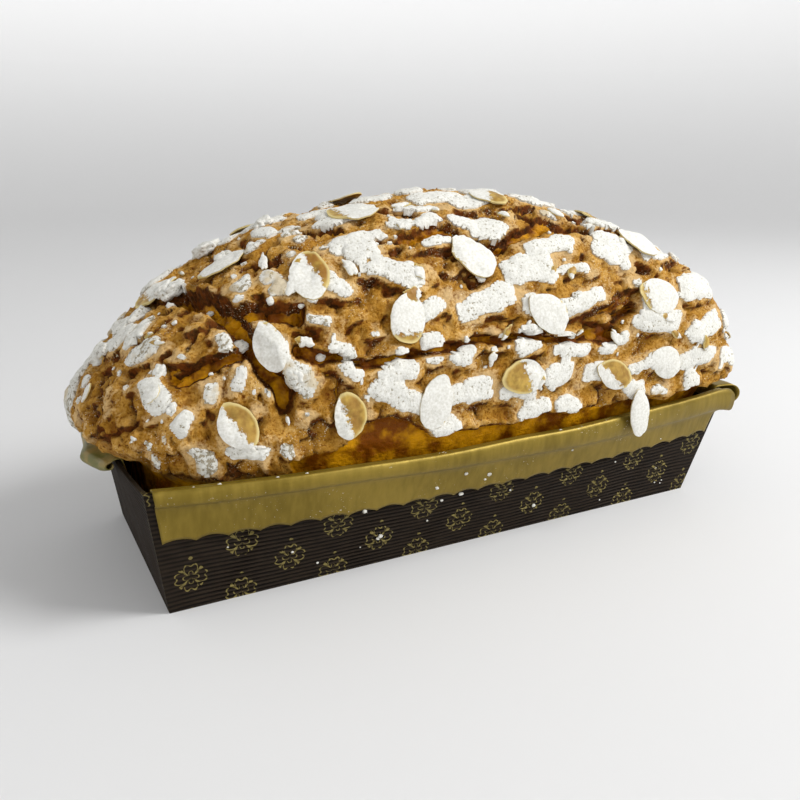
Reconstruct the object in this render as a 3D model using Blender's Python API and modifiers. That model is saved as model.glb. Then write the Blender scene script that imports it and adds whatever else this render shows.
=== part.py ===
"""An almond-glazed loaf cake baked in its own corrugated paper mould.

The mould is a tapered paper tray. Its gold liner is folded out over the long rims as two hanging bands
with a pinked lower edge, and over the short rims as two flaps with a rolled edge. The dough has risen
out of the tray into a long dome with a lumpy, cracked crust, and large flaked almonds lie on it.
Metres, +Z up, X along the loaf, -Y its front. The origin is on the table under the tray's middle.
"""

import math
import random

import bmesh
import bpy
from mathutils import Matrix, Vector, noise
from mathutils.bvhtree import BVHTree

# The right flap reaches further than the cake's left end, so the whole object's middle lies this far right
MIDDLE = 0.003

# Paper tray, measured outside: its ends lean out by different amounts, so each has its own reach
RIM_LEFT = 0.120
RIM_RIGHT = 0.1282
TRAY_WIDTH = 0.098
TRAY_HEIGHT = 0.0465
BASE_LEFT = 0.114
BASE_RIGHT = 0.1158
BASE_WIDTH = 0.085
PAPER = 0.0014
SIDE_SWELL = 0.0075
LEFT_SWELL = 0.003
RIGHT_SWELL = 0.0008
RIM_SAG = 0.0025

# Gold liner folded out over the rims
FOIL = 0.0005
BAND_DROP = 0.0185
SCALLOPS = 22
SCALLOP_DEPTH = 0.0016
BAND_EAR = 0.0070
EAR_DROP = 0.0018
# Each flap: (place across, reach outward) along it, its roll's radius and rise, its front corner's flare
LEFT_FLAP = [(-0.0175, 0.0030), (-0.0025, 0.0088), (0.0090, 0.0062), (0.0340, 0.0044)], 0.0023, -0.0010, 0.0
RIGHT_FLAP = [(-0.0460, 0.0085), (0.0360, 0.0080)], 0.0038, 0.0004, 0.0035

# Cake
CAKE_TOP = 0.1285
WIDEST_LEVEL = 0.058
NECK_LEVEL = 0.0485
LEFT_REACH = 0.131
RIGHT_REACH = 0.1335
DOME_WIDTH = 0.108
NECK_LEFT = 0.1133
NECK_RIGHT = 0.1205
NECK_WIDTH = 0.0915
TOP_LEAN = 0.008
BACK_LEAN = 0.0015
LEFT_ROUNDNESS = 1.5
RIGHT_ROUNDNESS = 1.7
LEFT_SQUARENESS = 3.4
RIGHT_SQUARENESS = 12.0
TOP_SQUARENESS = 3.4
BASE_SQUARENESS = 10.0

# Flaked almonds
ALMOND_THICKNESS = 0.0012
ALMOND_SIDES = 12
ALMOND_STIFFNESS = 0.55
ALMOND_LIFT = 0.0008
ALMOND_CLIMB = 0.02

# The narrow flake that hangs over the front rim
HANGING_CENTRE = Vector((0.0665, -0.0588, 0.0480))
HANGING_POINTS = Vector((0.10, -0.05, -1.0))
HANGING_FACES = Vector((0.0, -1.0, 0.05))
HANGING_LENGTH = 0.020
HANGING_WIDTH = 0.009

GAP = 0.0003


def clear_scene():
    for obj in list(bpy.data.objects):
        bpy.data.objects.remove(obj, do_unlink=True)


def material(name, colour, roughness, metallic=0.0):
    made = bpy.data.materials.new(name)
    made.use_nodes = True
    shader = made.node_tree.nodes["Principled BSDF"]
    shader.inputs["Base Color"].default_value = (*colour, 1.0)
    shader.inputs["Roughness"].default_value = roughness
    shader.inputs["Metallic"].default_value = metallic
    return made


def add_object(name, bm, collection, finish, smooth=True):
    bmesh.ops.recalc_face_normals(bm, faces=bm.faces)
    mesh = bpy.data.meshes.new(name)
    bm.to_mesh(mesh)
    bm.free()
    obj = bpy.data.objects.new(name, mesh)
    collection.objects.link(obj)
    mesh.materials.append(finish)
    if smooth:
        mesh.shade_smooth()
        mesh.set_sharp_from_angle(angle=math.radians(40))
    return obj


def cut_cube(cuts_x, cuts_y, cuts_z):
    """A cube from -1 to 1 with its faces cut by planes into this many cells each way."""
    bm = bmesh.new()
    bmesh.ops.create_cube(bm, size=2.0)
    for axis, cells in enumerate((cuts_x, cuts_y, cuts_z)):
        normal = Vector((0, 0, 0))
        normal[axis] = 1.0
        for step in range(1, cells):
            everything = bm.verts[:] + bm.edges[:] + bm.faces[:]
            place = normal * (2.0 * step / cells - 1.0)
            bmesh.ops.bisect_plane(bm, geom=everything, plane_co=place, plane_no=normal)
    return bm


def merge_base(bm):
    """Makes the flat cells of the underside one face."""
    bm.normal_update()
    bmesh.ops.dissolve_faces(bm, faces=[face for face in bm.faces if face.normal.z < -0.999])


# The tray's form, shared by everything that touches its walls


def rim_height(share):
    """The rim's height at this share (-1 to 1) of the tray's length: the long sides sag in the middle."""
    return TRAY_HEIGHT - RIM_SAG * (1 - share**2)


def swell(share, rise):
    """How far a wall pushed by the dough stands out, at a share of its length and of its height."""
    return (1 - abs(share) ** 2.2) * rise


def tray_point(p, q, rise):
    """A point of the tray's outside: p and q from -1 to 1 along and across, rise from 0 to 1."""
    base, rim, bow = (BASE_RIGHT, RIM_RIGHT, RIGHT_SWELL) if p > 0 else (BASE_LEFT, RIM_LEFT, LEFT_SWELL)
    half_length = base + (rim - base) * rise + bow * swell(q, rise**2)
    half_width = (BASE_WIDTH + (TRAY_WIDTH - BASE_WIDTH) * rise) / 2
    return Vector(
        (
            p * half_length - MIDDLE,
            q * (half_width + SIDE_SWELL * swell(p, rise)),
            rise * rim_height(p),
        )
    )


def make_tray(collection):
    bm = cut_cube(20, 6, 3)
    top = [face for face in bm.faces if face.normal.z > 0.9]
    bmesh.ops.delete(bm, geom=top, context="FACES")
    for vert in bm.verts:
        vert.co = tray_point(vert.co.x, vert.co.y, (vert.co.z + 1) / 2)
    merge_base(bm)
    paper = material("brown_paper", (0.035, 0.020, 0.018), 0.6)
    tray = add_object("paper_tray", bm, collection, paper, smooth=False)
    wall = tray.modifiers.new("paper thickness", "SOLIDIFY")
    wall.thickness = PAPER
    wall.offset = -1.0
    wall.use_even_offset = True


def band_section():
    """The band across the rim: (outward from the wall's outside, up from the rim), pinked edge first."""
    lie = GAP + FOIL / 2
    inside = -PAPER - lie
    return [
        (lie, -BAND_DROP),
        (lie, -0.0090),
        (0.0018, -0.0060),
        (0.0029, -0.0028),
        (0.0022, 0.0004),
        (-0.0002, 0.0015),
        (inside, 0.0012),
        (inside, -0.0040),
    ]


# How far each row of the band's section runs on past the right corner, as a share of the ear
EAR_SHARES = [0.0, 0.0, 0.35, 1.0, 1.0, 0.45, 0.0, 0.0]


def make_band(name, side, collection, foil):
    """The liner folded out over one long rim, from end to end."""
    section = band_section()
    columns = SCALLOPS * 2
    bm = bmesh.new()
    bmesh.ops.create_grid(bm, x_segments=columns, y_segments=len(section) - 1, size=1.0)
    for vert in bm.verts:
        column = round((vert.co.x + 1) / 2 * columns)
        row = round((vert.co.y + 1) / 2 * (len(section) - 1))
        p = 0.98 * vert.co.x
        outward, up = section[row]
        if row == 0:
            up += SCALLOP_DEPTH * (column % 2)
        height = rim_height(p) + up
        wall = tray_point(p, side, min(height / rim_height(p), 1.0))
        ear = EAR_SHARES[row] * max(0.0, (p - 0.92) / 0.06) ** 2
        vert.co = (wall.x + BAND_EAR * ear, wall.y + side * outward, height - EAR_DROP * ear * ear)
    band = add_object(name, bm, collection, foil)
    sheet = band.modifiers.new("foil thickness", "SOLIDIFY")
    sheet.thickness = FOIL
    sheet.offset = 0.0
    sheet.use_even_offset = True


def flap_reach(places, across):
    """How far the flap stands out from the rim at this place across the tray."""
    for (start, near), (end, far) in zip(places, places[1:]):
        if across <= end:
            return near + (far - near) * (across - start) / (end - start)
    return places[-1][1]


def flap_section(reach, radius, climb):
    """The flap across a short rim: (outward from the wall's outside, up from the rim), rolled edge last."""
    inside = -PAPER - 2 * GAP - FOIL / 2
    over = 2.5 * GAP + FOIL / 2
    points = [(inside, -0.0040), (inside, 0.0001), (inside + 0.0005, over), (0.0, over)]
    roll_centre = (reach - radius, over + climb - radius)
    turns = 8
    for step in range(turns + 1):
        angle = math.radians(90 - 285 * step / turns)
        points.append((roll_centre[0] + radius * math.cos(angle), roll_centre[1] + radius * math.sin(angle)))
    return points


def make_flap(name, side, form, collection, foil):
    """The liner folded out over one short rim, between two places across the tray."""
    places, radius, climb, flare = form
    near_y, far_y = places[0][0], places[-1][0]
    rows = len(flap_section(places[0][1], radius, climb)) - 1
    bm = bmesh.new()
    bmesh.ops.create_grid(bm, x_segments=rows, y_segments=6, size=1.0)
    for vert in bm.verts:
        row = round((vert.co.x + 1) / 2 * rows)
        share = (vert.co.y + 1) / 2
        across = near_y + (far_y - near_y) * share
        reach = flap_reach(places, across)
        outward, up = flap_section(reach, min(radius, reach / 2 - GAP), climb)[row]
        q = across / (TRAY_WIDTH / 2)
        wall = tray_point(side, q, min(1.0, 1.0 + up / TRAY_HEIGHT) if outward < 0 else 1.0)
        bow = LEFT_SWELL if side < 0 else RIGHT_SWELL
        bend = bow * (1 - swell(q, 1.0)) if outward > 0 else 0.0
        across -= flare * max(0.0, outward / reach) * (1 - share) ** 4
        vert.co = (wall.x + side * (outward + bend), across, TRAY_HEIGHT + up)
    flap = add_object(name, bm, collection, foil)
    sheet = flap.modifiers.new("foil thickness", "SOLIDIFY")
    sheet.thickness = FOIL
    sheet.offset = 0.0
    sheet.use_even_offset = True


# The cake's form


def dome_ring(rise, right):
    """Half-length, half-width and squareness of the dome's right or left end at this share of its height."""
    reach, roundness = (RIGHT_REACH, RIGHT_ROUNDNESS) if right else (LEFT_REACH, LEFT_ROUNDNESS)
    squareness = RIGHT_SQUARENESS if right else LEFT_SQUARENESS
    length = reach * math.sqrt(1 - rise**roundness)
    width = DOME_WIDTH / 2 * math.sqrt(1 - rise**3.4)
    return length, width, squareness + (TOP_SQUARENESS - squareness) * rise


def ring_point(p, q, reach, half_width, squareness):
    """The point of a ring in the direction (p, q), where reach is its half-length on that side."""
    norm = (abs(p) ** squareness + abs(q) ** squareness) ** (1 / squareness)
    return p / norm * reach, q / norm * half_width


def dome_point(p, q):
    """The smooth dome over the square from -1 to 1: its edge is the widest level, its middle the top."""
    ring = max(abs(p), abs(q))
    rise = 1 - ring * ring
    x, y = 0.0, 0.0
    if ring > 0:
        x, y = ring_point(p / ring, q / ring, *dome_ring(rise, p > 0))
    height = WIDEST_LEVEL + (CAKE_TOP - WIDEST_LEVEL) * rise
    return Vector((x + TOP_LEAN * rise - MIDDLE, y + BACK_LEAN * rise, height))


def neck_point(p, q, level):
    """The cake's side under the widest level: level is 1 there, 0 at the neck and -1 at the bottom."""
    reach, _, squareness = dome_ring(0.0, p > 0)
    neck, base = (NECK_RIGHT, BASE_RIGHT) if p > 0 else (NECK_LEFT, BASE_LEFT)
    if level >= 0:
        bow = math.sqrt(1 - (1 - level) ** 2)
        half_length = neck + (reach - neck) * bow
        half_width = (NECK_WIDTH + (DOME_WIDTH - NECK_WIDTH) * bow) / 2
        height = NECK_LEVEL + (WIDEST_LEVEL - NECK_LEVEL) * level
        bulge = SIDE_SWELL * (1 - bow)
    else:
        inset = PAPER + GAP + 0.001
        half_length = neck + (neck - base + inset) * level
        half_width = NECK_WIDTH / 2 + ((NECK_WIDTH - BASE_WIDTH) / 2 + inset) * level
        height = PAPER + GAP + (NECK_LEVEL - PAPER - GAP) * (level + 1)
        bulge = SIDE_SWELL * (level + 1)
        squareness += (BASE_SQUARENESS - squareness) * -level
    x, y = ring_point(p, q, half_length, half_width, squareness)
    y += math.copysign(bulge, y) * (1 - min(1, abs(x / half_length)) ** 2.2)
    return Vector((x - MIDDLE, y, height))


def surface_point(x, around):
    """The dome's point at x, turned this many degrees round the loaf from the front (0) over the top (90)."""
    out = Vector((0, -math.cos(math.radians(around)) * DOME_WIDTH / 2, 0))
    out.z = math.sin(math.radians(around)) * (CAKE_TOP - WIDEST_LEVEL)
    near, far = 0.0, 1.2
    for _ in range(24):
        middle = (near + far) / 2
        y, z = out.y * middle, out.z * middle
        rise = max(0.0, z / (CAKE_TOP - WIDEST_LEVEL))
        inside = rise < 1
        if inside:
            along, across = x - TOP_LEAN * rise, y - BACK_LEAN * rise
            length, width, squareness = dome_ring(rise, along > 0)
            inside = abs(along / length) ** squareness + abs(across / width) ** squareness < 1
        near, far = (middle, far) if inside else (near, middle)
    return Vector((x - MIDDLE, out.y * near, WIDEST_LEVEL + out.z * near))


# The crust's deepest cracks: the widest runs down the left shoulder, the others along the loaf
SHOULDER_CRACK = -0.095
SHOULDER_DRIFT = 0.022
SHOULDER_TOP = 92
SHOULDER_FOOT = 10
SHOULDER_STEPS = 6
LONG_CRACKS = [20, 50, 120, 154]
LONG_CRACK_END = 0.090


def crack_courses():
    """Each crack's half-width, depth and places (x, degrees round the loaf)."""
    chance = random.Random(3)
    shoulder = []
    for step in range(SHOULDER_STEPS):
        down = step / (SHOULDER_STEPS - 1)
        around = SHOULDER_TOP + (SHOULDER_FOOT - SHOULDER_TOP) * down
        shoulder.append((SHOULDER_CRACK + SHOULDER_DRIFT * down**2, around))
    courses = [(0.0048, 0.0055, shoulder)]
    for step, (x, around) in enumerate(shoulder[2:5]):
        side = -1 if step % 2 == 0 else 1
        tip = (x + side * chance.uniform(0.018, 0.028), around - chance.uniform(4, 14))
        courses.append((0.0030, 0.0030, [(x, around), tip]))
    for around in LONG_CRACKS:
        x = chance.uniform(-0.070, -0.020)
        course = []
        while x < LONG_CRACK_END:
            course.append((x, around + chance.uniform(-6, 6)))
            x += chance.uniform(0.018, 0.032)
        courses.append((0.0035, 0.0030, course))
    return courses


def crack_routes():
    return [
        (half, deep, [surface_point(x, around) for x, around in places])
        for half, deep, places in crack_courses()
    ]


def crack_depth(point, routes):
    deepest = 0.0
    for half, deep, places in routes:
        for start, end in zip(places, places[1:]):
            run = end - start
            share = min(1.0, max(0.0, (point - start).dot(run) / run.length_squared))
            away = (point - start - run * share).length / (half * 1.6)
            if away < 1:
                deepest = max(deepest, deep * (1 - away**2))
    return deepest


def crust_height(point, routes):
    """How far the crust stands off the smooth dome: broad lumps and knobs, less the cracks."""
    lumps = 0.0021 * noise.noise(point / 0.028)
    knobs = 0.0013 * noise.noise(point / 0.012 + Vector((7, 3, 5)))
    return lumps + knobs - crack_depth(point, routes)


def make_cake(collection):
    bm = cut_cube(40, 18, 6)
    routes = crack_routes()
    for vert in bm.verts:
        p, q, level = vert.co
        if level > 0.99:
            vert.co = dome_point(p, q)
        elif level > -0.99:
            vert.co = neck_point(p, q, level)
        else:
            side = max(abs(p), abs(q))
            edge = neck_point(p / side, q / side, -1.0) if side > 0 else Vector((0, 0, PAPER + GAP))
            vert.co = ((edge.x + MIDDLE) * side - MIDDLE, edge.y * side, edge.z)
    merge_base(bm)
    bm.normal_update()
    for vert in bm.verts:
        above = min(1.0, max(0.0, (vert.co.z - WIDEST_LEVEL + 0.004) / 0.010))
        if above > 0:
            vert.co += vert.normal * crust_height(vert.co.copy(), routes) * above
    crust = material("baked_crust", (0.36, 0.16, 0.045), 0.75)
    return add_object("cake", bm, collection, crust)


# Loose rows of large flaked almonds on the front and top: degrees round the loaf, and how many flakes
ALMOND_ROWS = [(8, 6), (27, 4), (47, 3), (74, 4)]
ALMOND_REACH = 0.105
BACK_ALMONDS = 11


def almond_places():
    """Every large almond's x, degrees, turn, length and width: rows on the front, a scatter on the back."""
    places = []
    scatter = random.Random(7)
    for around, count in ALMOND_ROWS:
        spacing = 2 * ALMOND_REACH / count
        for step in range(count):
            x = -ALMOND_REACH + spacing * (step + 0.5 + scatter.uniform(-0.15, 0.15))
            lean, turn = scatter.uniform(-3, 3), scatter.uniform(0, 180)
            length = scatter.uniform(0.016, 0.021)
            places.append((x, around + lean, turn, length, length * scatter.uniform(0.62, 0.8)))
    for step in range(BACK_ALMONDS):
        x = -0.098 + 0.196 * step / (BACK_ALMONDS - 1)
        around = 118 + 44 * (step % 2) + scatter.uniform(-9, 9)
        length = scatter.uniform(0.016, 0.023)
        places.append((x, around, scatter.uniform(0, 180), length, length * scatter.uniform(0.62, 0.8)))
    return places


def dome_frame(x, around, turn):
    """A place on the dome: its centre, the direction ahead after this turn, and straight off the crust."""
    centre = surface_point(x, around)
    beside = surface_point(x, around + 1) - centre
    along = surface_point(x + 0.001, around) - centre
    up = along.cross(beside).normalized()
    ahead = (Matrix.Rotation(math.radians(turn), 3, up) @ along).normalized()
    return centre, ahead, up


def flake_outline(centre, ahead, up, length, width):
    """A flat almond outline with one ring of points inside it, its narrow end ahead."""
    across = up.cross(ahead)
    bm = bmesh.new()
    bmesh.ops.create_circle(bm, cap_ends=True, cap_tris=True, segments=ALMOND_SIDES, radius=1.0)
    spokes = [edge for edge in bm.edges if not edge.is_boundary]
    bmesh.ops.subdivide_edges(bm, edges=spokes, cuts=1)
    bmesh.ops.triangulate(bm, faces=bm.faces)
    for vert in bm.verts:
        u, v = vert.co.x, vert.co.y
        taper = 1 - 0.28 * max(0.0, u) ** 2
        vert.co = centre + ahead * (u * length / 2) + across * (v * taper * width / 2)
    return bm


def lay_on_crust(bm, centre, up, crust_tree):
    """Bends the flake half as much as the crust under it, and lifts it just clear."""
    lows = []
    for vert in bm.verts:
        hit = crust_tree.ray_cast(vert.co + up * ALMOND_CLIMB, -up)
        lows.append((hit[0] - centre).dot(up) if hit[0] else 0.0)
    highest = max(lows)
    for vert, low in zip(bm.verts, lows):
        vert.co += up * (low + (highest - low) * ALMOND_STIFFNESS + ALMOND_LIFT)


def make_almond(name, bm, up, collection, finish):
    """Gives the flake its thickness."""
    lifted = bmesh.ops.extrude_face_region(bm, geom=bm.faces[:])["geom"]
    raised = [item for item in lifted if isinstance(item, bmesh.types.BMVert)]
    bmesh.ops.translate(bm, verts=raised, vec=up * ALMOND_THICKNESS)
    add_object(name, bm, collection, finish)


def make_almonds(cake, collection):
    bpy.context.view_layer.update()
    crust_tree = BVHTree.FromObject(cake, bpy.context.evaluated_depsgraph_get())
    finish = material("flaked_almond", (0.62, 0.46, 0.20), 0.5)
    for number, (x, around, turn, length, width) in enumerate(almond_places(), 1):
        centre, ahead, up = dome_frame(x, around, turn)
        bm = flake_outline(centre, ahead, up, length, width)
        lay_on_crust(bm, centre, up, crust_tree)
        make_almond(f"almond_{number:02d}", bm, up, collection, finish)
    up = HANGING_FACES.normalized()
    ahead = (HANGING_POINTS - up * HANGING_POINTS.dot(up)).normalized()
    bm = flake_outline(HANGING_CENTRE, ahead, up, HANGING_LENGTH, HANGING_WIDTH)
    make_almond("almond_over_rim", bm, up, collection, finish)


def main():
    clear_scene()
    collection = bpy.data.collections.new("almond loaf cake")
    bpy.context.scene.collection.children.link(collection)
    make_tray(collection)
    foil = material("gold_liner", (0.30, 0.22, 0.07), 0.45, 0.3)
    make_band("liner_band_front", -1, collection, foil)
    make_band("liner_band_back", 1, collection, foil)
    make_flap("liner_flap_left", -1, LEFT_FLAP, collection, foil)
    make_flap("liner_flap_right", 1, RIGHT_FLAP, collection, foil)
    make_almonds(make_cake(collection), collection)


main()
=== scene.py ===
"""The looks of an almond loaf cake in its own paper mould.

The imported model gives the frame. Each section below makes one piece of the real thing as it is put together:
the mould, its folded gold liner, the risen cake with its cracked almond glaze, then the toppings from the
largest to the smallest. Metres, +Z up, X along the loaf, -Y its front.
"""

import math
import random

import bmesh
import bpy
from mathutils import Matrix, Vector, noise
from mathutils.bvhtree import BVHTree
from mathutils.kdtree import KDTree


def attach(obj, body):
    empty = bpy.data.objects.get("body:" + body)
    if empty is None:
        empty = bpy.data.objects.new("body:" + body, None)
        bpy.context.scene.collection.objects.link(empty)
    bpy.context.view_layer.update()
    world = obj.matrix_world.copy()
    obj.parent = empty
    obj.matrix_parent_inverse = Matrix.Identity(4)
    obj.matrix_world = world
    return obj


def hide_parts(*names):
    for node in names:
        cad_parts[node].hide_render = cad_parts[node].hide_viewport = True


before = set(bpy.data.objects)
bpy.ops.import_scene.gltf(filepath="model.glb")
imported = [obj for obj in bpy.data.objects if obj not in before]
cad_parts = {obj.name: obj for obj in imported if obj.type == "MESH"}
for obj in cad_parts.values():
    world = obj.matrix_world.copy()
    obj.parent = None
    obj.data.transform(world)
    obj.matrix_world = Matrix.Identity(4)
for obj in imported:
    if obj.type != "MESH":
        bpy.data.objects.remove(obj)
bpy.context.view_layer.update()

# ---------------------------------------------------------------------------------------------------------
# Camera: it stands in front of the loaf's left half and looks along and down on it, as a buyer would.

CAMERA_PLACE = (-0.162, -0.290, 0.1515)
CAMERA_TURN = 27.8
CAMERA_DOWN = 17.7
CAMERA_ROLL = 0.5

camera = bpy.data.objects.new("camera", bpy.data.cameras.new("camera"))
camera.data.lens = 37.35
camera.data.clip_start = 0.01
camera.matrix_world = (
    Matrix.Translation(CAMERA_PLACE)
    @ Matrix.Rotation(math.radians(-CAMERA_TURN), 4, "Z")
    @ Matrix.Rotation(math.radians(90 - CAMERA_DOWN), 4, "X")
    @ Matrix.Rotation(math.radians(CAMERA_ROLL), 4, "Z")
)
bpy.context.scene.collection.objects.link(camera)
bpy.context.scene.camera = camera
bpy.context.scene.view_settings.view_transform = "Standard"

# ---------------------------------------------------------------------------------------------------------
# Table and light: a pale seamless sweep all round that glows a little as painted light, a large soft lamp high
# on the right and a weak fill.


class Shade:
    """A socket of a finish's node tree. Sums written on it become Math nodes."""

    def __init__(self, tree, socket=None):
        self.tree = tree
        self.socket = socket

    def node(self, kind, settings=None, sockets=None, out=0):
        """A new node of this kind: its settings first, then the values or links of its sockets."""
        made = self.tree.nodes.new("ShaderNode" + kind)
        for name, value in (settings or {}).items():
            if name == "stops":
                ramp = made.color_ramp
                ramp.elements[0].position, ramp.elements[0].color = value[0]
                ramp.elements[1].position, ramp.elements[1].color = value[-1]
                for place, colour in value[1:-1]:
                    ramp.elements.new(place).color = colour
            else:
                setattr(made, name, value)
        for name, value in (sockets or {}).items():
            if isinstance(value, Shade):
                self.tree.links.new(value.socket, made.inputs[name])
            else:
                made.inputs[name].default_value = value
        return Shade(self.tree, made.outputs[out])

    def sum(self, operation, *terms):
        return self.node("Math", {"operation": operation}, dict(enumerate(terms)))

    def __add__(self, other):
        return self.sum("ADD", self, other)

    def __sub__(self, other):
        return self.sum("SUBTRACT", self, other)

    def __rsub__(self, other):
        return self.sum("SUBTRACT", other, self)

    def __mul__(self, other):
        return self.sum("MULTIPLY", self, other)

    def __pow__(self, other):
        return self.sum("POWER", self, other)

    def __gt__(self, other):
        return self.sum("GREATER_THAN", self, other)

    def __lt__(self, other):
        return self.sum("LESS_THAN", self, other)

    __radd__ = __add__
    __rmul__ = __mul__

    def rise(self, low, high):
        """A smooth step from 0 at low to 1 at high."""
        ends = {"Value": self, "From Min": low, "From Max": high}
        return self.node("MapRange", {"interpolation_type": "SMOOTHSTEP"}, ends)

    def blend(self, first, second):
        """The first colour where this value is 0, the second where it is 1."""
        return self.node("Mix", {"data_type": "RGBA"}, {0: self, 6: first, 7: second}, out=2)

    def noise(self, size, detail=2.0, roughness=0.5):
        """Noise at this place, with lumps of this size in metres."""
        sockets = {"Vector": self, "Scale": 1 / size, "Detail": detail, "Roughness": roughness}
        return self.node("TexNoise", {}, sockets)

    def stretched(self, x, y, z):
        return self.node("VectorMath", {"operation": "MULTIPLY"}, {0: self, 1: (x, y, z)})

    def attribute(self, name):
        return self.node("Attribute", {"attribute_name": name}, out=2)


def paint(red, green, blue):
    """A colour as a paint chart gives it, 0 to 255, made linear."""
    linear = [((c / 255 + 0.055) / 1.055) ** 2.4 if c > 10 else c / 3295 for c in (red, green, blue)]
    return (*linear, 1.0)


class Finish:
    """A material: its Principled shader, and the place on the object that its shades start from."""

    def __init__(self, name):
        self.material = bpy.data.materials.new(name)
        self.material.use_nodes = True
        tree = self.material.node_tree
        self.shader = tree.nodes["Principled BSDF"]
        self.place = Shade(tree).node("TexCoord", out=3)

    def set(self, name, value):
        """Sets one of the shader's sockets to a plain value, or feeds it with a shade."""
        if isinstance(value, Shade):
            value.tree.links.new(value.socket, self.shader.inputs[name])
        else:
            self.shader.inputs[name].default_value = value

    def relief(self, height, deep, strength=1.0):
        """Bump with this height (0 to 1) of this depth in metres."""
        sockets = {"Height": height, "Distance": deep, "Strength": strength}
        self.set("Normal", self.place.node("Bump", {}, sockets))


def add_piece(name, bm, finish, smooth=True):
    """Makes a mesh object of this piece in the scene."""
    mesh = bpy.data.meshes.new(name)
    bm.to_mesh(mesh)
    bm.free()
    if smooth:
        mesh.shade_smooth()
    mesh.materials.append(finish.material)
    piece = bpy.data.objects.new(name, mesh)
    bpy.context.scene.collection.objects.link(piece)
    return piece


SWEEP_FLAT = 1.3
SWEEP_CURVE = 1.0
SWEEP_WALL = 0.6

sweep_bm = bmesh.new()
profile = [(0.0, 0.0), (SWEEP_FLAT, 0.0)]
for step in range(1, 13):
    angle = math.radians(90 * step / 12)
    profile.append((SWEEP_FLAT + SWEEP_CURVE * math.sin(angle), SWEEP_CURVE * (1 - math.cos(angle))))
profile.append((SWEEP_FLAT + SWEEP_CURVE, SWEEP_CURVE + SWEEP_WALL))
verts = [sweep_bm.verts.new((reach, 0.0, up)) for reach, up in profile]
edges = [sweep_bm.edges.new(pair) for pair in zip(verts, verts[1:])]
spin = dict(geom=verts + edges, axis=(0, 0, 1), cent=(0, 0, 0), angle=math.tau, steps=96)
bmesh.ops.spin(sweep_bm, use_merge=True, **spin)
bmesh.ops.remove_doubles(sweep_bm, verts=sweep_bm.verts, dist=0.0001)
bmesh.ops.recalc_face_normals(sweep_bm, faces=sweep_bm.faces)

sweep_finish = Finish("pale_sweep")
height = sweep_finish.place.node("SeparateXYZ", {}, {"Vector": sweep_finish.place}, out=2)
# Painted light: the sweep is painted paler up its wall than on the table, and it glows, faintly on the table
# and most up the wall, to light the backdrop and the loaf from round about.
sweep_finish.set("Base Color", height.rise(0.0, 0.9).blend(paint(214, 214, 214), paint(240, 240, 240)))
sweep_finish.set("Emission Color", height.rise(-0.15, 0.6).blend((0, 0, 0, 1), (1, 1, 1, 1)))
sweep_finish.set("Emission Strength", 0.385)
sweep_finish.set("Roughness", 0.9)
sweep = add_piece("sweep", sweep_bm, sweep_finish)


def add_lamp(name, place, aim, size, watts, colour=(1.0, 1.0, 1.0)):
    """A square soft lamp that looks from its place at its aim."""
    lamp = bpy.data.lights.new(name, "AREA")
    lamp.size = size
    lamp.energy = watts
    lamp.color = colour
    holder = bpy.data.objects.new(name, lamp)
    holder.location = place
    holder.rotation_euler = (Vector(aim) - Vector(place)).to_track_quat("-Z", "Y").to_euler()
    bpy.context.scene.collection.objects.link(holder)


add_lamp("key lamp", (0.75, -0.55, 0.95), (0.0, 0.0, 0.06), 0.55, 15)
add_lamp("fill lamp", (-0.55, -0.95, 0.60), (0.0, 0.0, 0.06), 0.9, 1.5)

world = bpy.data.worlds.new("soft room")
world.use_nodes = True
world.node_tree.nodes["Background"].inputs["Color"].default_value = (1.0, 1.0, 1.0, 1.0)
world.node_tree.nodes["Background"].inputs["Strength"].default_value = 0.39
bpy.context.scene.world = world

# ---------------------------------------------------------------------------------------------------------
# Paper mould: a tapered tray of dark brown baking paper with fine flutes that run round it, printed with
# thin gold clovers. The dough has pushed its long walls outward.

# The model's middle lies this far right of the mould's, because its right flap reaches further
MIDDLE = 0.003
RIM_LEFT = 0.120
RIM_RIGHT = 0.1282
TRAY_WIDTH = 0.098
TRAY_HEIGHT = 0.0465
BASE_LEFT = 0.114
BASE_RIGHT = 0.1158
BASE_WIDTH = 0.085
PAPER = 0.0014
SIDE_SWELL = 0.0075
LEFT_SWELL = 0.003
RIGHT_SWELL = 0.0008
RIM_SAG = 0.0025
FLUTES = 27
FLUTE_DEPTH = 0.00045
LONG_CELLS = 56
SHORT_CELLS = 22
ROWS_PER_FLUTE = 6
END_WALLS = 0.5


def rim_height(share):
    """The rim's height at this share (-1 to 1) of the tray's length: the long sides sag in the middle."""
    return TRAY_HEIGHT - RIM_SAG * (1 - share**2)


def swell(share, rise):
    """How far a wall pushed by the dough stands out, at a share of its length and of its height."""
    return (1 - abs(share) ** 2.2) * rise


def tray_point(p, q, rise):
    """A point of the tray's outside: p and q from -1 to 1 along and across, rise from 0 to 1."""
    base, rim, bow = (BASE_RIGHT, RIM_RIGHT, RIGHT_SWELL) if p > 0 else (BASE_LEFT, RIM_LEFT, LEFT_SWELL)
    half_length = base + (rim - base) * rise + bow * swell(q, rise**2)
    half_width = (BASE_WIDTH + (TRAY_WIDTH - BASE_WIDTH) * rise) / 2
    y = q * (half_width + SIDE_SWELL * swell(p, rise))
    return Vector((p * half_length - MIDDLE, y, rise * rim_height(p)))


def round_the_tray():
    """The places (p, q) round the tray's outline, from the front left corner."""
    front = [(-1 + 2 * step / LONG_CELLS, -1.0) for step in range(LONG_CELLS)]
    right = [(1.0, -1 + 2 * step / SHORT_CELLS) for step in range(SHORT_CELLS)]
    return front + right + [(-p, -q) for p, q in front + right]


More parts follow.
